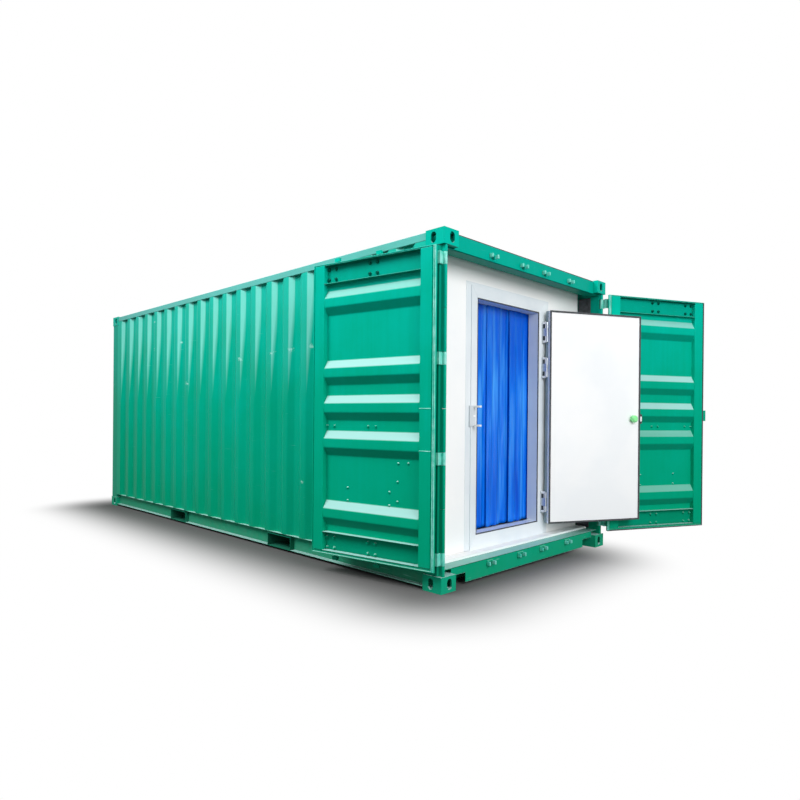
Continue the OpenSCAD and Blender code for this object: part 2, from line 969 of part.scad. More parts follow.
module right_lock_gear() {
    color(green)
        right_door() {
            lock_gear();
            hasp();
        }
}

module inner_door() {
    hung(true, axis_depth, axis_y, inner_angle) children();
}

// Insulated door: a foam-filled slab
module inner_leaf() {
    color(white)
        inner_door()
            block([inner_start, inner_end], [inner_back, inner_face], [inner_bottom, inner_top]);
}

module inner_gasket() {
    color(black)
        inner_door()
            difference() {
                block([inner_start, inner_end], [inner_face, inner_face + inner_seal_t],
                      [inner_bottom, inner_top]);
                block([inner_start + inner_seal_w, inner_end - inner_seal_w],
                      [inner_face - cut, inner_face + inner_seal_t + cut],
                      [inner_bottom + inner_seal_w, inner_top - inner_seal_w]);
            }
}

// Leaf half of a door hinge: two outer knuckles on a plate that laps the door's edge
module leaf_hinge() {
    knuckle_h = hinge_h * hinge_leaf_share - lug_play;
    for (up = [0, 1])
        mirror([0, 0, up])
            translate([0, 0, hinge_h / 2 - knuckle_h])
                linear_extrude(knuckle_h)
                    difference() {
                        union() {
                            circle(knuckle_r);
                            translate([0, -knuckle_r])
                                square([inner_start, 2 * knuckle_r]);
                        }
                        circle(hinge_pin_r + pin_play);
                    }
}

module inner_hinges() {
    color(zinc)
        inner_door()
            for (z = inner_hinge_zs)
                translate([0, 0, z])
                    leaf_hinge();
}

// Latch at the door's free edge
module inner_latch() {
    color(zinc)
        inner_door()
            block([inner_end, inner_end + latch_reach], span(0, latch_t / 2), span(latch_z, latch_h / 2));
}

// Release knob on the door's inside face
module release_knob() {
    color(release_green)
        inner_door()
            translate([inner_end - knob_inset, inner_face, latch_z])
                rotate([-90, 0, 0]) {
                    cylinder(h = knob_l, r = knob_stem_r);
                    translate([0, 0, knob_l - knob_head])
                        cylinder(h = knob_head, r = knob_r);
                }
}

bottom_castings();
top_castings();
base_rails();
cross_members();
fork_pockets();
door_sill();
end_sill();
door_header();
end_header();
top_rails();
door_posts();
end_posts();
side_walls();
end_wall();
roof();
floor();
hinge_lugs();
cam_keepers();
threshold();
cold_floor();
side_linings();
end_lining();
ceiling();
bulkhead_sides();
bulkhead_head();
door_frame();
strike_plate();
frame_hinges();
curtain_rail();
strip_curtain();
left_stiles();
left_channels();
left_panel();
left_gasket();
left_blades();
left_lock_gear();
right_stiles();
right_channels();
right_panel();
right_gasket();
right_blades();
right_lock_gear();
inner_leaf();
inner_gasket();
inner_hinges();
inner_latch();
release_knob();
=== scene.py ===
import json
import math

import bmesh
import bpy
from mathutils import Matrix, Vector


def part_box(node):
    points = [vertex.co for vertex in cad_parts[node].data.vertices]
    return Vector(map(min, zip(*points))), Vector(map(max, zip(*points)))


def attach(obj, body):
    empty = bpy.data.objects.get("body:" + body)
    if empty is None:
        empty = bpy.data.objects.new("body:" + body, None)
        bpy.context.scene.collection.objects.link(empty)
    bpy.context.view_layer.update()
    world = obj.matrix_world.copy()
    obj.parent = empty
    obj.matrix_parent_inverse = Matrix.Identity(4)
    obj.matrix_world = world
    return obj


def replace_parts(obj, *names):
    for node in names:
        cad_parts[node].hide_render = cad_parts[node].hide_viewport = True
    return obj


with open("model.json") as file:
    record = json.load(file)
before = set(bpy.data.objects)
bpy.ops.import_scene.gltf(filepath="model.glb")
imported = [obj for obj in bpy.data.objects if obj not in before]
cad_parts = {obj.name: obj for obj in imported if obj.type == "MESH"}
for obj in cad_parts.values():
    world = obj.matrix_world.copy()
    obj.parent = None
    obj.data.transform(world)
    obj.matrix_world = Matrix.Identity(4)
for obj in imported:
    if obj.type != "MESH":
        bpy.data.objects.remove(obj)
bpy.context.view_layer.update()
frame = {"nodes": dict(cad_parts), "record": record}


# Camera: stands at eye height off the left front corner, where the photograph was taken.
# Its place, lens, tilt and lens shift were solved from the castings, rails and posts.
scene = bpy.context.scene
DOOR_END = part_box("bottom_castings")[1].x
CAMERA_PLACE = Vector((DOOR_END + 2.806, -4.470, 1.245))
CAMERA_YAW = math.radians(45.89)
CAMERA_PITCH = math.radians(-0.09)
CAMERA_ROLL = math.radians(0.51)
FOCAL_PX = 611.3
AXIS_PX = (407.3, 418.4)
IMAGE_PX = 800
lens = bpy.data.cameras.new("camera")
camera = bpy.data.objects.new("camera", lens)
scene.collection.objects.link(camera)
scene.camera = camera
look = Vector((-math.cos(CAMERA_YAW) * math.cos(CAMERA_PITCH),
               math.sin(CAMERA_YAW) * math.cos(CAMERA_PITCH),
               math.sin(CAMERA_PITCH)))
level = Vector((math.sin(CAMERA_YAW), math.cos(CAMERA_YAW), 0))
upright = level.cross(look)
right = math.cos(CAMERA_ROLL) * level + math.sin(CAMERA_ROLL) * upright
upward = math.cos(CAMERA_ROLL) * upright - math.sin(CAMERA_ROLL) * level
camera.matrix_world = (Matrix.Translation(CAMERA_PLACE)
                       @ Matrix((right, upward, -look)).transposed().to_4x4())
lens.lens = lens.sensor_width * FOCAL_PX / IMAGE_PX
lens.shift_x = (IMAGE_PX / 2 - AXIS_PX[0]) / IMAGE_PX
lens.shift_y = (AXIS_PX[1] - IMAGE_PX / 2) / IMAGE_PX
scene.view_settings.view_transform = "Standard"


# Container frame: cast corner fittings, and rails, posts, header and sill pressed from
# weathering steel, welded together with cross members and fork pockets between the base rails
# and a ribbed roof sheet on top, then sprayed in green alkyd enamel.
MM = 0.001
MIX_FROM, MIX_TO, MIX_RESULT = 6, 7, 2  # a Mix node's colour sockets, whose names aren't unique
nodes = frame["nodes"]


def linear(hex_colour):
    parts = [int(hex_colour[i:i + 2], 16) / 255 for i in (1, 3, 5)]
    return [p / 12.92 if p <= 0.04045 else ((p + 0.055) / 1.055) ** 2.4 for p in parts] + [1.0]


def add(tree, kind, inputs=None, stops=(), **settings):
    made = tree.nodes.new("ShaderNode" + kind)
    for name, value in settings.items():
        setattr(made, name, value)
    for socket, value in (inputs or {}).items():
        if isinstance(value, bpy.types.NodeSocket):
            tree.links.new(value, made.inputs[socket])
        else:
            made.inputs[socket].default_value = value
    if stops:
        elements = made.color_ramp.elements
        while len(elements) < len(stops):
            elements.new(0.5)
        for element, (position, hex_colour) in zip(elements, stops):
            element.position = position
            element.color = linear(hex_colour)
    return made


def new_material(name):
    made = bpy.data.materials.new(name)
    made.use_nodes = True
    shader = made.node_tree.nodes["Principled BSDF"]
    place = add(made.node_tree, "TexCoord").outputs["Object"]
    return made, made.node_tree, shader, place


def dress(material, *names):
    for name in names:
        slots = nodes[name].data.materials
        slots.clear()
        slots.append(material)


def soften(width, *names):
    for name in names:
        weld = nodes[name].modifiers.new("weld", "WELD")
        weld.merge_threshold = 0.1 * MM
        edge = nodes[name].modifiers.new("edge", "BEVEL")
        edge.width = width
        edge.segments = 2
        edge.limit_method = "ANGLE"
        edge.angle_limit = math.radians(40)


PAINT_LOW = "#009C74"
PAINT_MIDDLE = "#00A686"
PAINT_HIGH = "#00B8A4"
PAINT_SCUFF = "#8FE3D6"
# Pale of a painted highlight on upward-facing ledges.
PAINTED_LEDGE_HIGHLIGHT = "#AFDCDA"
RAIL_BLEACH = "#8CBBC0"
PAINTED_SKY_SHEEN = "#9DF0E6"
CHIP_PALE = "#C9F3EC"
# Dark green of painted shade: used under downward faces and as the usual cast.
PAINTED_SHADE = "#006E58"
# Darker green of painted shade in hollows.
PAINTED_HOLLOW_SHADE = "#00483A"
ROAD_DUST = "#75847A"
FADE_PATCH = 800 * MM
RAIN_RUN = (35 * MM, 35 * MM, 900 * MM)
SCUFF_MARK = (180 * MM, 180 * MM, 9 * MM)
DUST_SPECK = 60 * MM
ORANGE_PEEL = 14 * MM  # coarser than the real 2 mm, which is too fine to show
SHEET_WAVE = 260 * MM
HOLLOW_REACH = 170 * MM
CHIP_GRAIN = 25 * MM
RIB_DEPTH = 36 * MM
WALL_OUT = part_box("side_walls")[1].y
PAINTED_SKY_FOOT, PAINTED_SKY_HEAD = 0.3, 2.5
SHEEN_FOOT, SHEEN_HEAD = 1.35, 2.4
EAVES_FOOT, EAVES_HEAD = 1.95, 2.15
DUST_TOP = 0.24
# Where loading has knocked paint off the side walls: along, up and radius in metres.
WALL_CHIPS = ((-1.704, 2.067, 0.045), (-0.821, 1.616, 0.06), (0.301, 1.822, 0.06),
              (0.876, 1.844, 0.05), (1.168, 1.852, 0.05), (1.469, 1.866, 0.05),
              (1.383, 0.662, 0.045), (-1.028, 2.1, 0.04), (-1.71, 2.403, 0.04))


# Alkyd enamel, sprayed: a clean green, painted lighter and bluer towards the top as painted sky
# light, with faint rain runs, road dust low down, painted highlights on ledges and painted shade in
# hollows and under folds. The wall ribs carry a painted sheen highlight that tapers off downwards.
# depth says how far the green goes to cast, which is the painted shade colour unless another is
# given.
def container_paint(name, dust, scuff, depth=0.0, cast=PAINTED_SHADE, ledge_highlight=0.8,
                    ledge_highlight_from=-1.0, painted_sheen=0.0, chips=()):
    made, tree, shader, place = new_material(name)
    spot = add(tree, "SeparateXYZ", {"Vector": place})
    height = spot.outputs["Z"]
    facing = add(tree, "SeparateXYZ", {"Vector": add(tree, "NewGeometry").outputs["Normal"]})

    # Painted light: the green is painted lighter and bluer towards the top, standing in for sky
    # light.
    climb = add(tree, "MapRange", {"Value": height, "From Min": PAINTED_SKY_FOOT, "From Max": PAINTED_SKY_HEAD,
                                   "To Min": 0.1, "To Max": 0.9})
    fade = add(tree, "TexNoise", {"Vector": place, "Scale": 1 / FADE_PATCH, "Detail": 5.0,
                                  "Roughness": 0.6})
    patch = add(tree, "MapRange", {"Value": fade.outputs["Fac"], "From Min": 0.3, "From Max": 0.7,
                                   "To Min": -0.2, "To Max": 0.2})
    runs = add(tree, "Mapping", {"Vector": place, "Scale": [1 / side for side in RAIN_RUN]})
    rain = add(tree, "TexNoise", {"Vector": runs.outputs["Vector"], "Scale": 1.0, "Detail": 3.0})
    streak = add(tree, "MapRange", {"Value": rain.outputs["Fac"], "From Min": 0.35,
                                    "From Max": 0.65, "To Min": -0.04, "To Max": 0.04})
    shade = add(tree, "Math", {0: climb.outputs["Result"], 1: patch.outputs["Result"]},
                operation="ADD")
    shade = add(tree, "Math", {0: shade.outputs["Value"], 1: streak.outputs["Result"]},
                operation="ADD")
    green = add(tree, "ValToRGB", {"Fac": shade.outputs["Value"]},
                stops=((0.0, PAINT_LOW), (0.5, PAINT_MIDDLE), (1.0, PAINT_HIGH)))

    marks = add(tree, "Mapping", {"Vector": place, "Scale": [1 / side for side in SCUFF_MARK]})
    rub = add(tree, "TexNoise", {"Vector": marks.outputs["Vector"], "Scale": 1.0, "Detail": 2.0})
    rubbed = add(tree, "MapRange", {"Value": rub.outputs["Fac"], "From Min": 0.72,
                                    "From Max": 0.78, "To Max": scuff})
    coats = [(rubbed.outputs["Result"], PAINT_SCUFF)]

    peeled = add(tree, "TexNoise", {"Vector": place, "Scale": 1 / CHIP_GRAIN, "Detail": 4.0})
    flat = add(tree, "VectorMath", {0: place, 1: (1.0, 0.0, 1.0)}, operation="MULTIPLY")
    for x, z, radius in chips:
        away = add(tree, "VectorMath", {0: flat.outputs["Vector"], 1: (x, 0.0, z)},
                   operation="DISTANCE")
        ragged = add(tree, "Math", {0: peeled.outputs["Fac"], 1: 3.0 * radius,
                                    2: away.outputs["Value"]}, operation="MULTIPLY_ADD")
        bare = add(tree, "MapRange", {"Value": ragged.outputs["Value"], "From Min": 1.9 * radius,
                                      "From Max": 1.3 * radius, "To Max": 0.6})
        coats.append((bare.outputs["Result"], CHIP_PALE))

    # Painted highlight: rib faces turned towards +X are paled near the top of the wall, tapering
    # downwards.
    turned = add(tree, "MapRange", {"Value": facing.outputs["X"], "From Min": 0.25,
                                    "From Max": 0.6, "To Min": 0.04})
    across = add(tree, "Math", {0: spot.outputs["Y"]}, operation="ABSOLUTE")
    inward = add(tree, "MapRange", {"Value": across.outputs["Value"], "From Min": WALL_OUT,
                                    "From Max": WALL_OUT - RIB_DEPTH})
    drop = add(tree, "MapRange", {"Value": height, "From Min": SHEEN_FOOT, "From Max": SHEEN_HEAD,
                                  "To Max": 1.3})
    taper = add(tree, "Math", {0: drop.outputs["Result"], 1: inward.outputs["Result"]},
                operation="SUBTRACT")
    upper = add(tree, "MapRange", {"Value": taper.outputs["Value"], "From Max": 0.5,
                                   "To Max": painted_sheen})
    painted_shine = add(tree, "Math", {0: turned.outputs["Result"], 1: upper.outputs["Result"]},
                operation="MULTIPLY")
    coats += [(painted_shine.outputs["Value"], PAINTED_SKY_SHEEN), (depth, cast)]

    # Painted shade: faces turned downwards are mixed towards a dark green.
    under_shade = add(tree, "MapRange", {"Value": facing.outputs["Z"], "From Min": -0.25,
                                   "From Max": -0.6, "To Max": 0.6})
    # Painted shade: hollows found by ambient occlusion are darkened where shade falls.
    hollow = add(tree, "AmbientOcclusion", {"Distance": HOLLOW_REACH}, samples=4, only_local=True)
    hollow_shade = add(tree, "MapRange", {"Value": hollow.outputs["AO"], "From Min": 0.72,
                                   "From Max": 0.2, "To Max": 0.75})
    coats += [(under_shade.outputs["Result"], PAINTED_SHADE), (hollow_shade.outputs["Result"], PAINTED_HOLLOW_SHADE)]

    # Painted highlight: faces turned upwards are paled, standing in for sky light on ridge slopes
    # and ledges; less on the highest part and below a given height.
    painted_ledge = add(tree, "MapRange", {"Value": facing.outputs["Z"], "From Min": 0.25,
                                   "From Max": 0.5, "To Max": ledge_highlight})
    eaves = add(tree, "MapRange", {"Value": height, "From Min": EAVES_FOOT, "From Max": EAVES_HEAD,
                                   "To Min": 1.0, "To Max": 0.65})
    spared = add(tree, "MapRange", {"Value": height, "From Min": ledge_highlight_from - 0.1,
                                    "From Max": ledge_highlight_from + 0.1, "To Min": 0.45})
    painted_ledge = add(tree, "Math", {0: painted_ledge.outputs["Result"], 1: eaves.outputs["Result"]},
                operation="MULTIPLY")
    painted_ledge = add(tree, "Math", {0: painted_ledge.outputs["Value"], 1: spared.outputs["Result"]},
                operation="MULTIPLY")
    coats.append((painted_ledge.outputs["Value"], PAINTED_LEDGE_HIGHLIGHT))

    low = add(tree, "MapRange", {"Value": height, "From Min": DUST_TOP, "From Max": 0.0,
                                 "To Max": dust})
    specks = add(tree, "TexNoise", {"Vector": place, "Scale": 1 / DUST_SPECK, "Detail": 8.0})
    dusty = add(tree, "Math", {0: low.outputs["Result"], 1: specks.outputs["Fac"]},
                operation="MULTIPLY")
    coats.append((dusty.outputs["Value"], ROAD_DUST))

    tint = green.outputs["Color"]
    for share, hex_colour in coats:
        tint = add(tree, "Mix", {"Factor": share, MIX_FROM: tint, MIX_TO: linear(hex_colour)},
                   data_type="RGBA").outputs[MIX_RESULT]
    tree.links.new(tint, shader.inputs["Base Color"])

    gloss = add(tree, "MapRange", {"Value": fade.outputs["Fac"], "To Min": 0.27, "To Max": 0.4})
    dull = add(tree, "Math", {0: gloss.outputs["Result"], 1: dusty.outputs["Value"]},
               operation="ADD")
    tree.links.new(dull.outputs["Value"], shader.inputs["Roughness"])
    wave = add(tree, "TexNoise", {"Vector": place, "Scale": 1 / SHEET_WAVE, "Detail": 1.0})
    peel = add(tree, "TexNoise", {"Vector": place, "Scale": 1 / ORANGE_PEEL, "Detail": 2.0})
    sheet = add(tree, "Bump", {"Height": wave.outputs["Fac"], "Strength": 0.25,
                               "Distance": 10 * MM})
    skin = add(tree, "Bump", {"Height": peel.outputs["Fac"], "Strength": 0.06, "Distance": 1 * MM,
                              "Normal": sheet.outputs["Normal"]})
    tree.links.new(skin.outputs["Normal"], shader.inputs["Normal"])
    shader.inputs["Specular IOR Level"].default_value = 0.02
    return made


green_paint = container_paint("green_alkyd_enamel", 0.12, 0.0)
scuffed_paint = container_paint("green_alkyd_enamel_scuffed", 0.1, 0.15, painted_sheen=0.95,
                                chips=WALL_CHIPS)
roof_paint = container_paint("green_alkyd_enamel_roof", 0.0, 0.0, ledge_highlight=0.1)
rail_paint = container_paint("green_alkyd_enamel_road_dust", 0.55, 0.5)
# Mixed 30% towards the painted shade colour: painted shade under the door channels' flanges and on
# the frame members.
frame_paint = container_paint("green_alkyd_enamel_frame", 0.12, 0.2, 0.3)
# Door posts: mixed halfway to the painted shade colour, as painted shade in the gap beside the
# doors.
post_shade_paint = container_paint("green_alkyd_enamel_sheltered", 0.12, 0.0, 0.5)
bleached_paint = container_paint("green_alkyd_enamel_sun_bleached", 0.0, 0.5, 0.45,
                                 cast=RAIL_BLEACH)
# Fork pockets: mixed far towards the painted hollow shade, as painted shade inside the pockets, and
# without the painted ledge highlight.
pocket_shade_paint = container_paint("green_alkyd_enamel_pocket", 0.2, 0.0, 0.6, cast=PAINTED_HOLLOW_SHADE,
                               ledge_highlight=0.0)
sill_paint = container_paint("green_alkyd_enamel_chipped", 0.1, 0.6, ledge_highlight=0.6)
dress(scuffed_paint, "bottom_castings")
dress(green_paint, "top_castings")
dress(rail_paint, "base_rails", "cross_members")
dress(pocket_shade_paint, "fork_pockets")
dress(sill_paint, "door_sill")
dress(post_shade_paint, "door_posts")
dress(frame_paint, "end_sill", "door_header", "end_header", "end_posts")
dress(bleached_paint, "top_rails")
dress(roof_paint, "roof")
soften(9 * MM, "bottom_castings", "top_castings")
soften(5 * MM, "door_sill", "door_header", "top_rails", "door_posts")
soften(3 * MM, "base_rails", "end_sill", "end_header", "end_posts")


# Side and end walls: 2 mm sheet steel folded into upright ribs by a press brake, so each fold
# is round, and welded to the rails all round. Loading has left rubbed marks on the ribs.
FOLD = 11 * MM
FOLD_FLATTEST, FOLD_STEEPEST = math.radians(12), math.radians(75)
FOLD_SHORTEST = 300 * MM


def finish_piece(name, form, material, body):
    mesh = bpy.data.meshes.new(name)
    form.to_mesh(mesh)
    form.free()
    mesh.materials.append(material)
    made = bpy.data.objects.new(name, mesh)
    scene.collection.objects.link(made)
    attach(made, body)
    return made


def folded_sheet(name, node, fold, material, body):
    form = bmesh.new()
    form.from_mesh(nodes[node].data)
    bmesh.ops.remove_doubles(form, verts=form.verts, dist=0.1 * MM)
    bmesh.ops.dissolve_limit(form, angle_limit=math.radians(2), verts=form.verts,
                             edges=form.edges)
    form.normal_update()
    folds = [edge for edge in form.edges
             if len(edge.link_faces) == 2 and edge.calc_length() > FOLD_SHORTEST
             and FOLD_FLATTEST < edge.calc_face_angle() < FOLD_STEEPEST]
    bmesh.ops.bevel(form, geom=folds, offset=fold, offset_type="OFFSET", affect="EDGES",
                    segments=3, profile=0.5, material=-1, clamp_overlap=False)
    made = finish_piece(name, form, material, body)
    made.data.shade_smooth()
    made.data.set_sharp_from_angle(angle=math.radians(35))
    even = made.modifiers.new("even", "WEIGHTED_NORMAL")
    even.keep_sharp = True
    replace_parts(made, node)
    return made


folded_sheet("ribbed_side_walls", "side_walls", FOLD, scuffed_paint, "container")
folded_sheet("ribbed_end_wall", "end_wall", FOLD, scuffed_paint, "container")


# Floor: sheets of marine plywood, hardwood veneers glued crosswise, laid on the cross members
# and screwed down. It shows only from below.
PLY_GRAIN = (1000 / 3 * MM, 12.5 * MM, 12.5 * MM)


# Plywood, sealed: brown, with long grain along the container and no shine.
def plywood(name):
    made, tree, shader, place = new_material(name)
    grain = add(tree, "Mapping", {"Vector": place, "Scale": [1 / side for side in PLY_GRAIN]})
    rings = add(tree, "TexNoise", {"Vector": grain.outputs["Vector"], "Scale": 1.0, "Detail": 8.0})
    tint = add(tree, "ValToRGB", {"Fac": rings.outputs["Fac"]},
               stops=((0.2, "#5E4229"), (0.8, "#A5804F")))
    tree.links.new(tint.outputs["Color"], shader.inputs["Base Color"])
    shader.inputs["Roughness"].default_value = 0.7
    return made


dress(plywood("marine_plywood"), "floor")


# Cargo doors: each leaf is a pressed steel panel with level ridges, welded into two box stiles
# and a channel at head and foot, on cranked hinge blades. Lock rods are bolted on outside, so
# their nuts and rivets come through to the inside face.
# A leaf's own sizes are in mm: along from the hinge, inward from the outer face, and up.
PANEL_SKIN = 58
PANEL_FOOT, PANEL_HEAD = 335, 2295
PANEL_FOLD = 7 * MM
RIDGE_CREST = 98
RIDGE_MIDDLES = [1315 + 980 * share for share in (-0.848, -0.283, 0, 0.283, 0.848)]
RIDGE_HALF = 100
CREST_HALF = 34
STILE_INSIDES = (147, 1063.5)
STILE_FACE = 102
SEAM_REACH = (46, 144)
SEAM_HEIGHTS = (1008, 1309)
CHANNEL_WEB = 56
RODS = (601, 1013)
FOOT_NUTS = [(rod + side, up) for rod in RODS for side in (-36, 36) for up in (206, 290)]
HEAD_NUTS = [(rod + side, up) for rod in RODS for side in (-36, 36) for up in (2334, 2416)]
GUIDE_NUTS = [(along, 1173) for along in (1058, 983, 643, 569)]
HUB_RIVETS = [(839, 694), (839, 595), (434, 689), (434, 590), (360, 769), (360, 624),
              (354, 905), (265, 909)]
# A fastener's layers: width, height, sides, and the share of the width left at its top.
CHANNEL_FASTENER = ((30, 3, 14, 1.0), (22, 12, 6, 0.92))
GUIDE_FASTENER = ((26, 3, 14, 1.0), (18, 10, 6, 0.92))
HUB_RIVET = ((20, 4, 14, 0.9), (18, 4, 14, 0.5))
GASKET_RIBS = (19, 31.5)
GASKET_FACE = 101
GASKET_HEIGHTS = (164, 2451)
WELD_BEAD = 3 * MM
GASKET_BEAD = 4.5 * MM


def leaf_place(joint_name):
    joint = next(j for j in frame["record"]["behaviour"]["joints"] if j["name"] == joint_name)
    x, y, _ = joint["pos_m"]
    swung = Matrix.Rotation(math.radians(-joint["range_deg"][0] * joint["axis"][2]), 4, "Z")
    along = swung @ Vector((0, -math.copysign(1, y), 0))
    inward = swung @ Vector((-1, 0, 0))
    return (Matrix.Translation((x, y, 0))
            @ Matrix((along, inward, Vector((0, 0, 1)))).transposed().to_4x4())


def leaf_point(place, along, inward, up):
    return place @ Vector((along * MM, inward * MM, up * MM))


def fasten(form, place, spots, face, layers):
    for width, height, sides, top in layers:
        for along, up in spots:
            middle = leaf_point(Matrix.Identity(4), along, face + height / 2, up)
            seat = place @ Matrix.Translation(middle) @ Matrix.Rotation(-math.pi / 2, 4, "X")
            bmesh.ops.create_cone(form, cap_ends=True, segments=sides, radius1=width / 2 * MM,
                                  radius2=top * width / 2 * MM, depth=height * MM, matrix=seat)
        face += height
    bmesh.ops.recalc_face_normals(form, faces=form.faces)


def block(form, low, high, edge, place=Matrix.Identity(4)):
    size = [(b - a) * MM for a, b in zip(low, high)]
    middle = [(a + b) / 2 * MM for a, b in zip(low, high)]
    made = bmesh.ops.create_cube(form, size=1.0, matrix=(place @ Matrix.Translation(middle)
                                                         @ Matrix.Diagonal((*size, 1.0))))
    rims = list({rim for corner in made["verts"] for rim in corner.link_edges})
    bmesh.ops.bevel(form, geom=rims, offset=edge * MM, offset_type="OFFSET", affect="EDGES",
                    segments=2, profile=0.5, material=-1, clamp_overlap=True)
    bmesh.ops.recalc_face_normals(form, faces=form.faces)


def bead(name, lines, radius, material, body):
    curve = bpy.data.curves.new(name, "CURVE")
    curve.dimensions = "3D"
    curve.bevel_depth = radius
    curve.bevel_resolution = 2
    curve.use_fill_caps = True
    for line in lines:
        spline = curve.splines.new("POLY")
        spline.points.add(len(line) - 1)
        for point, spot in zip(spline.points, line):
            point.co = (*spot, 1.0)
    curve.materials.append(material)
    made = bpy.data.objects.new(name, curve)
    scene.collection.objects.link(made)
    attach(made, body)
    return made


# Enamel painted pale and patchy, with more shine than the rest: rubbed thin by use on the keeper
# claws, and a painted highlight on the hinge blades, stile seams and gasket retainer beads.
def worn_and_highlit_paint(name):
    made, tree, shader, place = new_material(name)
    chips = add(tree, "TexNoise", {"Vector": place, "Scale": 1 / (60 * MM), "Detail": 2.0})
    tint = add(tree, "ValToRGB", {"Fac": chips.outputs["Fac"]},
               stops=((0.3, "#3CC9B2"), (0.7, "#8FE3D6")))
    tree.links.new(tint.outputs["Color"], shader.inputs["Base Color"])
    shader.inputs["Roughness"].default_value = 0.3
    return made


# EPDM rubber, extruded: nearly black and dull, greyed by dust in patches.
def rubber(name):
    made, tree, shader, place = new_material(name)
    dust = add(tree, "TexNoise", {"Vector": place, "Scale": 1 / (40 * MM), "Detail": 5.0})
    tint = add(tree, "ValToRGB", {"Fac": dust.outputs["Fac"]},
               stops=((0.3, "#1B1E22"), (0.8, "#454A50")))
    tree.links.new(tint.outputs["Color"], shader.inputs["Base Color"])
    shader.inputs["Roughness"].default_value = 0.6
    return made


nut_paint = container_paint("green_alkyd_enamel_thick_coat", 0.1, 0.0)
# Nearly the darkest painted shade, for small parts that sit in shade: the head-channel nuts and the
# blocks between the keeper claws.
deep_shade_paint = container_paint("green_alkyd_enamel_deep_painted_shade", 0.0, 0.0, 0.9, cast=PAINTED_HOLLOW_SHADE,
                               ledge_highlight=0.2)
pale_edge_paint = worn_and_highlit_paint("rubbed_and_highlit_green_enamel")
black_rubber = rubber("black_epdm_rubber")
painted_rubber = container_paint("green_overspray_on_rubber", 0.5, 0.3)
# The right leaf's painted ledge highlight is held back below 1.2 m.
panel_paints = {"left": green_paint,
                "right": container_paint("green_alkyd_enamel_right_leaf", 0.12, 0.0,
                                         ledge_highlight_from=1.2)}
for side in ("left", "right"):
    body = f"{side}_door"
    place = leaf_place(f"{side}_door_hinge")
    dress(green_paint, f"{side}_stiles", f"{side}_lock_gear")
    dress(frame_paint, f"{side}_channels")
    # The hinge blades are paled: a painted highlight.
    dress(pale_edge_paint, f"{side}_blades")
    dress(painted_rubber, f"{side}_gasket")
    soften(4 * MM, f"{side}_stiles")
    soften(1.5 * MM, f"{side}_channels", f"{side}_blades", f"{side}_lock_gear", f"{side}_gasket")
    folded_sheet(f"{side}_ridged_panel", f"{side}_panel", PANEL_FOLD, panel_paints[side], body)
    form = bmesh.new()
    fasten(form, place, FOOT_NUTS, CHANNEL_WEB, CHANNEL_FASTENER)
    fasten(form, place, GUIDE_NUTS, PANEL_SKIN, GUIDE_FASTENER)
    fasten(form, place, HUB_RIVETS, PANEL_SKIN, HUB_RIVET)
    finish_piece(f"{side}_nuts_and_rivets", form, nut_paint, body)
    # The nuts in the head channel are dark: painted shade under the channel's flange.
    form = bmesh.new()
    fasten(form, place, HEAD_NUTS, CHANNEL_WEB, CHANNEL_FASTENER)
    finish_piece(f"{side}_head_nuts", form, deep_shade_paint, body)
    profile = [(PANEL_SKIN, PANEL_FOOT)]
    for middle in RIDGE_MIDDLES:
        profile += [(PANEL_SKIN, middle - RIDGE_HALF), (RIDGE_CREST, middle - CREST_HALF),
                    (RIDGE_CREST, middle + CREST_HALF), (PANEL_SKIN, middle + RIDGE_HALF)]
    profile.append((PANEL_SKIN, PANEL_HEAD))
    welds = [[leaf_point(place, along, inward, up) for inward, up in profile]
             for along in STILE_INSIDES]
    bead(f"{side}_panel_welds", welds, WELD_BEAD, nut_paint, body)
    # The stile seams and gasket retainer beads are paled: a painted highlight.
    seams = [[leaf_point(place, along, STILE_FACE, up) for along in SEAM_REACH]
             for up in SEAM_HEIGHTS]
    bead(f"{side}_stile_seams", seams, WELD_BEAD, pale_edge_paint, body)
    ribs = [[leaf_point(place, along, GASKET_FACE, up) for up in GASKET_HEIGHTS]
            for along in GASKET_RIBS]
    bead(f"{side}_gasket_retainer", ribs, GASKET_BEAD, pale_edge_paint, body)

# The right leaf also shows its gasket's black edge, a plate that laps onto the left leaf, and
# lock rods that end at the leaf's edges.
EDGE_CORNERS = ((18, 163), (1173.5, 163), (1173.5, 2451))
EDGE_FACE = 100
EDGE_BEAD = 6 * MM
LAP_LOW, LAP_HIGH = (1110, 40, 1235), (1262, 51, 1345)
ROD_FOOT, ROD_HEAD = 150 * MM, 2468 * MM
right_place = leaf_place("right_door_hinge")
rim = [[leaf_point(right_place, along, EDGE_FACE, up) for along, up in EDGE_CORNERS]]
bead("right_gasket_edge", rim, EDGE_BEAD, black_rubber, "right_door")
form = bmesh.new()
block(form, LAP_LOW, LAP_HIGH, 2, right_place)
finish_piece("right_lap_plate", form, green_paint, "right_door")
form = bmesh.new()
form.from_mesh(nodes["right_lock_gear"].data)
bmesh.ops.remove_doubles(form, verts=form.verts, dist=0.1 * MM)
for end, outward in ((ROD_FOOT, -1), (ROD_HEAD, 1)):
    cut = bmesh.ops.bisect_plane(form, geom=form.verts[:] + form.edges[:] + form.faces[:],
                                 plane_co=(0, 0, end), plane_no=(0, 0, outward),
                                 clear_outer=True)
    sawn = [edge for edge in cut["geom_cut"] if isinstance(edge, bmesh.types.BMEdge)]
    for cap in bmesh.ops.holes_fill(form, edges=sawn, sides=0)["faces"]:
        cap.normal_update()
        if cap.normal.z * outward < 0:
            cap.normal_flip()
rods = finish_piece("right_lock_rods", form, green_paint, "right_door")
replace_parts(rods, "right_lock_gear")


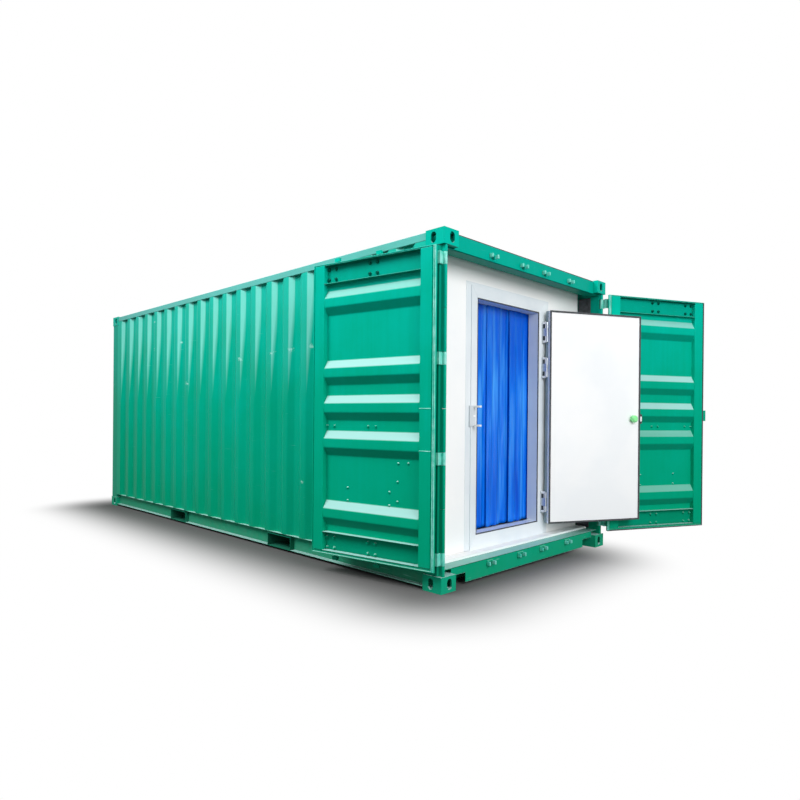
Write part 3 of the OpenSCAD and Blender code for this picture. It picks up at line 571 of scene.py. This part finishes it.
# Hinge lugs, cam keepers and post seals: forged lugs welded to the posts, and small forged claws
# welded to header and sill, where the cams on the lock rods hook in. Use has rubbed the claws
# pale. Rubber strips are glued along the posts' inner faces and along the header. Sizes in mm.
KEEPER_SPOTS = [(across, up) for up in (112, 2501) for across in (-590, -170, 170, 590)]
KEEPER_FACE = (DOOR_END - 45 * MM) / MM
CLAW_OFFSET = 36
SEAL_FACES = (1166.5, 1171)
SEAL_BACK, SEAL_FRONT = 2764, 2898
SEAL_FOOT, SEAL_HEAD = 165, 2450
SEAM_HALF = 1045 * MM
SEAM_BEAD = 4 * MM
dress(green_paint, "hinge_lugs")
soften(4 * MM, "hinge_lugs")
plates, claws, shade_blocks = bmesh.new(), bmesh.new(), bmesh.new()
for across, up in KEEPER_SPOTS:
    block(plates, (KEEPER_FACE, across - 40, up - 27), (KEEPER_FACE + 4, across + 40, up + 27), 1.5)
    # A dark block between each pair of claws is painted shade in the keeper's recess.
    block(shade_blocks, (KEEPER_FACE + 3, across - 20, up - 22),
          (KEEPER_FACE + 6.5, across + 20, up + 14), 1)
    for claw in (across - CLAW_OFFSET, across + CLAW_OFFSET):
        block(claws, (KEEPER_FACE + 2, claw - 7, up - 10), (KEEPER_FACE + 36, claw + 7, up + 20), 4)
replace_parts(finish_piece("keeper_plates", plates, green_paint, "container"),
            "cam_keepers")
finish_piece("keeper_claws", claws, pale_edge_paint, "container")
finish_piece("keeper_shade_blocks", shade_blocks, deep_shade_paint, "container")
form = bmesh.new()
for side in (-1, 1):
    near, far = sorted(side * face for face in SEAL_FACES)
    block(form, (SEAL_BACK, near, SEAL_FOOT), (SEAL_FRONT, far, SEAL_HEAD), 1)
finish_piece("post_seals", form, black_rubber, "container")
header_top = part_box("door_header")[1]
seam = [[Vector((header_top.x - 2 * MM, across, header_top.z - 1 * MM))
         for across in (-SEAM_HALF, SEAM_HALF)]]
bead("header_seam", seam, SEAM_BEAD, black_rubber, "container")


# Cold room shell: sandwich panels of two white polyester-coated steel skins on foam, slid in
# behind the cargo doors and sealed at the corners.
PANEL_WHITE = "#FBFCFC"
PANEL_SHADE = "#F3F6F8"


# Polyester-coated steel, rolled: clean white with a faint cool cloud, a satin shine and a fine
# emboss, drawn coarser than the real one so that it shows.
def coated_steel(name, light, shade):
    made, tree, shader, place = new_material(name)
    cloud = add(tree, "TexNoise", {"Vector": place, "Scale": 1 / (700 * MM), "Detail": 4.0})
    tint = add(tree, "ValToRGB", {"Fac": cloud.outputs["Fac"]}, stops=((0.35, shade), (0.6, light)))
    tree.links.new(tint.outputs["Color"], shader.inputs["Base Color"])
    emboss = add(tree, "TexNoise", {"Vector": place, "Scale": 1 / (6 * MM), "Detail": 1.0})
    skin = add(tree, "Bump", {"Height": emboss.outputs["Fac"], "Strength": 0.05,
                              "Distance": 0.5 * MM})
    tree.links.new(skin.outputs["Normal"], shader.inputs["Normal"])
    shader.inputs["Roughness"].default_value = 0.38
    return made


panel_white = coated_steel("white_coated_steel", PANEL_WHITE, PANEL_SHADE)
dress(panel_white, "threshold", "cold_floor", "side_linings", "end_lining", "ceiling",
      "bulkhead_sides", "bulkhead_head")


# Door frame: hollow white PVC section, mitred and welded at the corners, with a thin flange
# lapped on the bulkhead and a black rubber lip pressed in round the opening.
# A ring's sides are its left, right, lower and upper edge.
frame_low, frame_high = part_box("door_frame")
OPENING = (-470 * MM, 440 * MM, 297 * MM, 2223 * MM)
FRAME_EDGE = (frame_low.y, frame_high.y, frame_low.z, frame_high.z)
FLANGE_EDGE = (frame_low.y - 62 * MM, frame_high.y + 62 * MM, frame_low.z,
               frame_high.z + 24 * MM)
LIP_WIDTH = 9 * MM
LIP_EDGE = (OPENING[0] - LIP_WIDTH, OPENING[1] + LIP_WIDTH, OPENING[2] - LIP_WIDTH,
            OPENING[3] + LIP_WIDTH)
BULKHEAD_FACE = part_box("bulkhead_sides")[1].x
CASING_FOOT = frame_high.x - frame_low.x - 15 * MM
CASING_FACE = frame_low.x + CASING_FOOT


def mitred_ring(form, inner, outer, back, thick_in, thick_out, edge):
    def corners(sides):
        return [(sides[0], sides[2]), (sides[0], sides[3]), (sides[1], sides[3]),
                (sides[1], sides[2])]
    ins, outs = corners(inner), corners(outer)
    for i in range(4):
        j = (i + 1) % 4
        flat = [form.verts.new((back, y, z)) for y, z in (ins[i], ins[j], outs[j], outs[i])]
        raised = bmesh.ops.extrude_face_region(form, geom=[form.faces.new(flat)])["geom"]
        for v in raised:
            if isinstance(v, bmesh.types.BMVert):
                at_inner = min(math.hypot(v.co.y - y, v.co.z - z)
                               for y, z in (ins[i], ins[j])) < 0.1 * MM
                v.co.x += thick_in if at_inner else thick_out
        rims = [e for e in raised if isinstance(e, bmesh.types.BMEdge)]
        bmesh.ops.bevel(form, geom=rims, offset=edge, offset_type="OFFSET", affect="EDGES",
                        segments=2, profile=0.5, material=-1, clamp_overlap=True)
    bmesh.ops.recalc_face_normals(form, faces=form.faces)


# Extruded PVC and powder coat: smooth and even, with a slight cloud in its tone and gloss.
def smooth_coat(name, light, shade):
    made, tree, shader, place = new_material(name)
    cloud = add(tree, "TexNoise", {"Vector": place, "Scale": 1 / (400 * MM), "Detail": 3.0})
    tint = add(tree, "ValToRGB", {"Fac": cloud.outputs["Fac"]},
               stops=((0.35, shade), (0.65, light)))
    tree.links.new(tint.outputs["Color"], shader.inputs["Base Color"])
    gloss = add(tree, "MapRange", {"Value": cloud.outputs["Fac"], "To Min": 0.25, "To Max": 0.4})
    tree.links.new(gloss.outputs["Result"], shader.inputs["Roughness"])
    return made


# A slightly grey white: the PVC's own tone, darkened further as painted shade so the casing shows
# against the bulkhead.
frame_pvc = smooth_coat("white_extruded_pvc", "#E9EFF3", "#DDE6EC")
form = bmesh.new()
mitred_ring(form, OPENING, FRAME_EDGE, frame_low.x, CASING_FOOT, CASING_FOOT, 1 * MM)
mitred_ring(form, OPENING, FRAME_EDGE, CASING_FACE, 4 * MM, 18 * MM, 1.5 * MM)
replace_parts(finish_piece("frame_casing", form, frame_pvc, "container"),
            "door_frame")
form = bmesh.new()
mitred_ring(form, FRAME_EDGE, FLANGE_EDGE, BULKHEAD_FACE, 3 * MM, 3 * MM, 1 * MM)
finish_piece("frame_flange", form, frame_pvc, "container")
form = bmesh.new()
mitred_ring(form, OPENING, LIP_EDGE, CASING_FACE, 6.5 * MM, 7.5 * MM, 1 * MM)
finish_piece("opening_lip", form, black_rubber, "container")


# Inner door: an insulated leaf with white coated steel faces, hung on three lift-off hinges,
# with a black bulb gasket clipped round its inside face, and a grey strip on its hinge edge
# that is painted shade for that shadowed edge.
EDGE_SHADE_LOW, EDGE_SHADE_HIGH = (9, -36, 275), (10.5, 8, 2245)
dress(panel_white, "inner_leaf")
dress(black_rubber, "inner_gasket")
soften(4 * MM, "inner_leaf")
soften(2 * MM, "inner_gasket")
inner_place = leaf_place("inner_door_hinge")
# Painted shade: a grey strip along the leaf's hinge edge.
edge_shade_grey = smooth_coat("grey_painted_edge_shade", "#8FA3AA", "#7A8F97")
form = bmesh.new()
block(form, EDGE_SHADE_LOW, EDGE_SHADE_HIGH, 0.4, inner_place)
finish_piece("inner_edge_shade_strip", form, edge_shade_grey, "inner_door")


# Fittings: zinc-plated pressed steel hinge leaves and rail, cast hinge brackets coated white
# with thin dark plates in their slots as painted shade, a cast strike with three prongs, and a
# roller latch in a black housing, all screwed on. Sizes are in mm.
HINGE_HEIGHTS = (472, 1719, 2048)
BRACKET_HALF = 97
SLOT_OFFSET, SLOT_HALF = 53, 23
STRIKE_LOW, STRIKE_HIGH = (2758, -590, 1176), (2775, -519, 1346)
STRIKE_PRONGS = ((1184, 2838), (1261, 2777), (1338, 2838))
PRONG_HALF = 8
HOUSING_LOW, HOUSING_HIGH = (1009, -14, 1204), (1042, 29, 1296)
ROLLER_LOW, ROLLER_HIGH = (1017, 0, 1226), (1036, 35, 1274)


# Zinc plate: pale grey metal with small crystals and a soft shine.
def zinc_plate(name):
    made, tree, shader, place = new_material(name)
    spangle = add(tree, "TexVoronoi", {"Vector": place, "Scale": 1 / (9 * MM)})
    tint = add(tree, "ValToRGB", {"Fac": spangle.outputs["Distance"]},
               stops=((0.0, "#B4BABE"), (1.0, "#D9DEE1")))
    tree.links.new(tint.outputs["Color"], shader.inputs["Base Color"])
    shader.inputs["Metallic"].default_value = 0.85
    shader.inputs["Roughness"].default_value = 0.38
    return made


# Moulded plastic: one colour right through, with a gloss that varies a little.
def moulded_plastic(name, hex_colour):
    made, tree, shader, place = new_material(name)
    mottle = add(tree, "TexNoise", {"Vector": place, "Scale": 1 / (15 * MM)})
    gloss = add(tree, "MapRange", {"Value": mottle.outputs["Fac"], "To Min": 0.25, "To Max": 0.4})
    tree.links.new(gloss.outputs["Result"], shader.inputs["Roughness"])
    shader.inputs["Base Color"].default_value = linear(hex_colour)
    return made


zinc = zinc_plate("zinc_plated_steel")
coated = smooth_coat("white_powder_coat", "#F4F6F8", "#EAEEF1")
strike_grey = smooth_coat("grey_powder_coat", "#D3DADF", "#C8D0D6")
latch_black = moulded_plastic("black_moulded_nylon", "#24282C")
dress(zinc, "frame_hinges", "inner_hinges", "curtain_rail")
brackets, slots = bmesh.new(), bmesh.new()
for up in HINGE_HEIGHTS:
    block(brackets, (2766, 489, up - BRACKET_HALF), (2806, 505, up + BRACKET_HALF), 2)
    # Each slot holds a thin dark plate: painted shade.
    for middle in (up - SLOT_OFFSET, up + SLOT_OFFSET):
        block(slots, (2771, 488.2, middle - SLOT_HALF), (2800, 490, middle + SLOT_HALF), 0.4)
finish_piece("hinge_brackets", brackets, coated, "container")
finish_piece("hinge_slot_shade", slots, black_rubber, "container")
form = bmesh.new()
block(form, STRIKE_LOW, STRIKE_HIGH, 2)
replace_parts(finish_piece("strike_casting", form, strike_grey, "container"),
            "strike_plate")
form = bmesh.new()
for up, reach in STRIKE_PRONGS:
    block(form, (2765, -546, up - PRONG_HALF), (reach, -517, up + PRONG_HALF), 2)
finish_piece("strike_prongs", form, coated, "container")
form = bmesh.new()
block(form, HOUSING_LOW, HOUSING_HIGH, 3, inner_place)
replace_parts(finish_piece("latch_housing", form, latch_black, "inner_door"),
            "inner_latch")
form = bmesh.new()
block(form, ROLLER_LOW, ROLLER_HIGH, 3, inner_place)
finish_piece("latch_roller", form, coated, "inner_door")


# Release knob: pushed to open the door from inside, a mushroom moulded in pale green plastic
# on a short stem that goes through the leaf to the latch.
KNOB_SPOT = [(925, 1250)]
KNOB_SEAT = 36
KNOB_LAYERS = ((48, 8, 32, 0.9), (66, 30, 32, 1.03), (68, 12, 32, 0.6))
knob_green = moulded_plastic("green_moulded_plastic", "#8CF09A")
form = bmesh.new()
fasten(form, inner_place, KNOB_SPOT, KNOB_SEAT, KNOB_LAYERS)
knob = finish_piece("mushroom_knob", form, knob_green, "inner_door")
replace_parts(knob, "release_knob")


# Strip curtain: soft clear-blue PVC strips cut from a roll, so each keeps a curl across its
# width. They hang from the rail in two overlapping layers, edge behind edge.
STRIPS = 6
STRIP_WIDTH = 200 * MM
STRIP_PITCH = 165 * MM
STRIP_MIDDLE = -15 * MM
STRIP_THICK = 2 * MM
STRIP_INSET = 1.5 * MM
WAVE_LENGTH = 96 * MM
WAVE_HEIGHT = 7 * MM
WAVE_GROWN = 0.3
WAVE_STARTS = (0.2, 1.9, 4.0, 0.9, 2.8, 5.1)
WAVE_DRIFTS = (1.3, -0.8, 1.7, -1.2, 0.6, -1.6)
HUNG_WIDTH = STRIP_WIDTH / (1 + (math.pi * WAVE_HEIGHT / WAVE_LENGTH) ** 2)
PVC_STREAK = (70 * MM, 70 * MM, 1000 * MM)
HEAD_SHADE = "#0046C0"
SHADE_FOOT, SHADE_HEAD = 1.5, 2.2


# Soft PVC, extruded: deep blue with long paler streaks down the strip as painted highlights,
# painted shade towards the head of the frame, and glossy.
def soft_pvc(name):
    made, tree, shader, place = new_material(name)
    drawn = add(tree, "Mapping", {"Vector": place, "Scale": [1 / side for side in PVC_STREAK]})
    cloud = add(tree, "TexNoise", {"Vector": drawn.outputs["Vector"], "Scale": 1.0, "Detail": 3.0})
    blue = add(tree, "ValToRGB", {"Fac": cloud.outputs["Fac"]},
               stops=((0.3, "#0053CE"), (0.5, "#0672EA"), (0.72, "#46A4FA")))
    height = add(tree, "SeparateXYZ", {"Vector": place}).outputs["Z"]
    shaded = add(tree, "MapRange", {"Value": height, "From Min": SHADE_FOOT,
                                    "From Max": SHADE_HEAD, "To Max": 0.55})
    tint = add(tree, "Mix", {"Factor": shaded.outputs["Result"], MIX_FROM: blue.outputs["Color"],
                             MIX_TO: linear(HEAD_SHADE)}, data_type="RGBA")
    tree.links.new(tint.outputs[MIX_RESULT], shader.inputs["Base Color"])
    shader.inputs["Roughness"].default_value = 0.16
    shader.inputs["Specular IOR Level"].default_value = 0.12
    return made


curtain_low, curtain_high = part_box("strip_curtain")
length = curtain_high.z - curtain_low.z
blue_pvc = soft_pvc("blue_soft_pvc")
for i in range(STRIPS):
    front = i % 2 == 0
    hang_x = curtain_high.x - STRIP_INSET if front else curtain_low.x + STRIP_INSET
    lean = 1 if front else -1
    middle = STRIP_MIDDLE + (i - (STRIPS - 1) / 2) * STRIP_PITCH
    form = bmesh.new()
    bmesh.ops.create_grid(form, x_segments=44, y_segments=60, size=0.5)
    for point in form.verts:
        across, down = point.co.x * HUNG_WIDTH, 0.5 - point.co.y
        grown = math.sin(math.pi / 2 * min(1.0, down / WAVE_GROWN))
        phase = 2 * math.pi * across / WAVE_LENGTH + WAVE_STARTS[i] + WAVE_DRIFTS[i] * down
        wave = WAVE_HEIGHT * grown * (lean + math.sin(phase))
        point.co = (hang_x + wave, middle + across, curtain_high.z - down * length)
    bmesh.ops.recalc_face_normals(form, faces=form.faces)
    strip = finish_piece(f"curtain_strip_{i + 1}", form, blue_pvc, "container")
    strip.data.shade_smooth()
    gauge = strip.modifiers.new("thickness", "SOLIDIFY")
    gauge.thickness = STRIP_THICK
    gauge.offset = 0
    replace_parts(strip, "strip_curtain")


# Studio: a wide pale paper floor, grey round the object as a painted shadow on top of the lamps'
# real shading and white further out, a white world, and soft lamps over and beside the object.
FLOOR_RADIUS = 60.0
FLOOR_GREY = "#626262"
SHADOW_MIDDLE = (0.0, -0.35, 0.0)
SHADOW_HALF = (DOOR_END - 0.15, 0.85, 0.0)
SHADOW_FADE = 1.22
WORLD_LIGHT = 0.45


def directly_seen(tree):
    rays = add(tree, "LightPath")
    seen = add(tree, "Math", {0: rays.outputs["Is Camera Ray"], 1: rays.outputs["Is Glossy Ray"]},
               operation="MAXIMUM")
    seen = add(tree, "Math", {0: seen.outputs["Value"], 1: rays.outputs["Is Transmission Ray"]},
               operation="MAXIMUM")
    return seen.outputs["Value"]


form = bmesh.new()
bmesh.ops.create_circle(form, cap_ends=True, segments=96, radius=FLOOR_RADIUS)
floor_mesh = bpy.data.meshes.new("studio_floor")
form.to_mesh(floor_mesh)
form.free()
studio_floor = bpy.data.objects.new("studio_floor", floor_mesh)
scene.collection.objects.link(studio_floor)
# Matt paper: grey without shine near the object as a painted shadow, white where that painted
# shadow has faded out.
paper, tree, shader, place = new_material("white_paper")
shader.inputs["Base Color"].default_value = linear(FLOOR_GREY)
shader.inputs["Roughness"].default_value = 0.9
shader.inputs["Specular IOR Level"].default_value = 0.0
outside = add(tree, "VectorMath", {0: place, 1: SHADOW_MIDDLE}, operation="SUBTRACT")
outside = add(tree, "VectorMath", {0: outside.outputs["Vector"]}, operation="ABSOLUTE")
outside = add(tree, "VectorMath", {0: outside.outputs["Vector"], 1: SHADOW_HALF},
              operation="SUBTRACT")
outside = add(tree, "VectorMath", {0: outside.outputs["Vector"], 1: (0.0, 0.0, 0.0)},
              operation="MAXIMUM")
reach = add(tree, "VectorMath", {0: outside.outputs["Vector"]}, operation="LENGTH")
faded = add(tree, "MapRange", {"Value": reach.outputs["Value"], "From Max": SHADOW_FADE},
            interpolation_type="SMOOTHERSTEP")
blank = add(tree, "Math", {0: faded.outputs["Result"], 1: directly_seen(tree)},
            operation="MULTIPLY")
glow = add(tree, "Emission", {"Color": (1, 1, 1, 1), "Strength": 1.0})
both = add(tree, "MixShader", {0: blank.outputs["Value"], 1: shader.outputs["BSDF"],
                               2: glow.outputs["Emission"]})
tree.links.new(both.outputs["Shader"], tree.nodes["Material Output"].inputs["Surface"])
floor_mesh.materials.append(paper)

world = bpy.data.worlds.new("white_studio")
scene.world = world
world.use_nodes = True
background = world.node_tree.nodes["Background"]
power = add(world.node_tree, "MapRange", {"Value": directly_seen(world.node_tree),
                                          "To Min": WORLD_LIGHT, "To Max": 1.0})
world.node_tree.links.new(power.outputs["Result"], background.inputs["Strength"])
background.inputs["Color"].default_value = (1, 1, 1, 1)

# Each lamp: where it hangs, what it points at, watts, width and height in metres.
LAMPS = {"overhead": ((-1.5, 1.0, 9.0), (0.0, 0.0, 0.0), 330.0, 6.0, 6.0),
         "left_key": ((0.5, -6.0, 7.0), (1.5, -1.2, 1.3), 570.0, 4.0, 4.0),
         "back_fill": ((-5.0, 8.0, 6.0), (0.0, 1.0, 1.2), 420.0, 5.0, 5.0),
         "front_key": ((9.5, -2.0, 4.6), (2.9, 0.5, 1.3), 405.0, 4.0, 4.0),
         "low_front": ((8.5, 0.0, 0.9), (2.98, 0.2, 0.3), 42.0, 3.0, 1.5)}
for name, (spot, target, watts, width, height) in LAMPS.items():
    lamp = bpy.data.lights.new(name, "AREA")
    lamp.energy = watts
    lamp.shape = "RECTANGLE"
    lamp.size = width
    lamp.size_y = height
    holder = bpy.data.objects.new(name, lamp)
    aim = (Vector(target) - Vector(spot)).to_track_quat("-Z", "Y")
    holder.matrix_world = Matrix.Translation(spot) @ aim.to_matrix().to_4x4()
    scene.collection.objects.link(holder)
